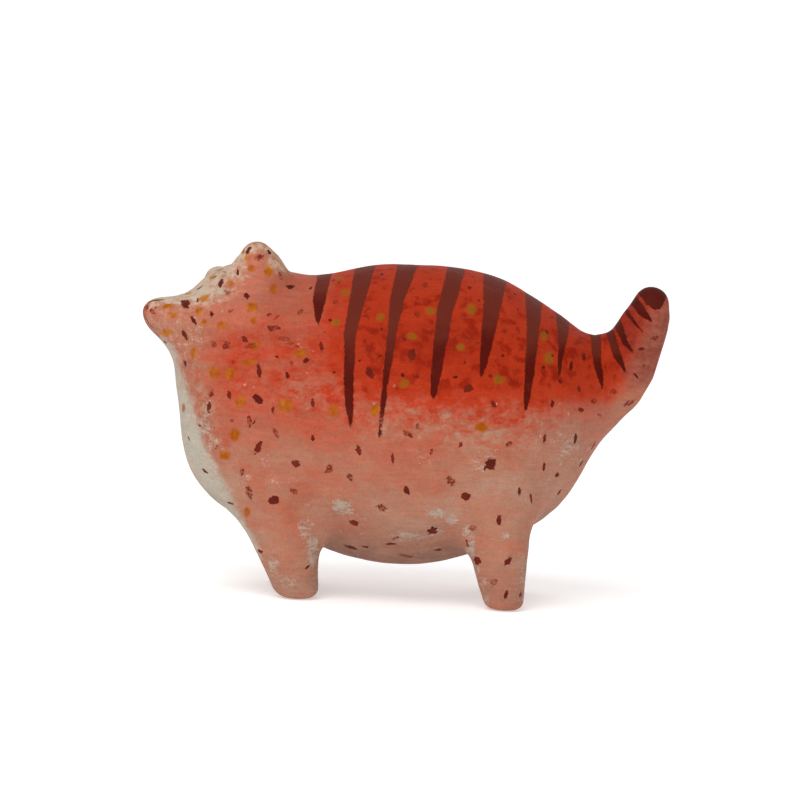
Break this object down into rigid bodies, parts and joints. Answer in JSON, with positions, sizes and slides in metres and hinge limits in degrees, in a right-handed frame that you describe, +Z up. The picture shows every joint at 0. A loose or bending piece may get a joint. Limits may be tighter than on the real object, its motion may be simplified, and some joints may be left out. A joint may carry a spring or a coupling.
{
  "type": "papier-mache cat ornament",
  "caption": "Round-bodied papier-mache cat ornament on short legs, upswept tail and blunt ears, hand painted red to pink with brown stripes and specks; stands free on its soles.",
  "frame": {"origin": "middle of the bounding box, on the ground under the cat", "axes": "+X runs from the nose to the tail, so the cat faces -X; +Z is up; -Y is the cat's left side"},
  "size_m": [0.1989, 0.098, 0.1307],
  "materials": {
    "painted_paper": "matte to satin acrylic paint over papier-mache: red-orange back, pink flanks, cream chest, brown stripes and specks"
  },
  "bodies": {
    "root": {"papier_mache_cat": "painted_paper"}
  },
  "joints": []
}
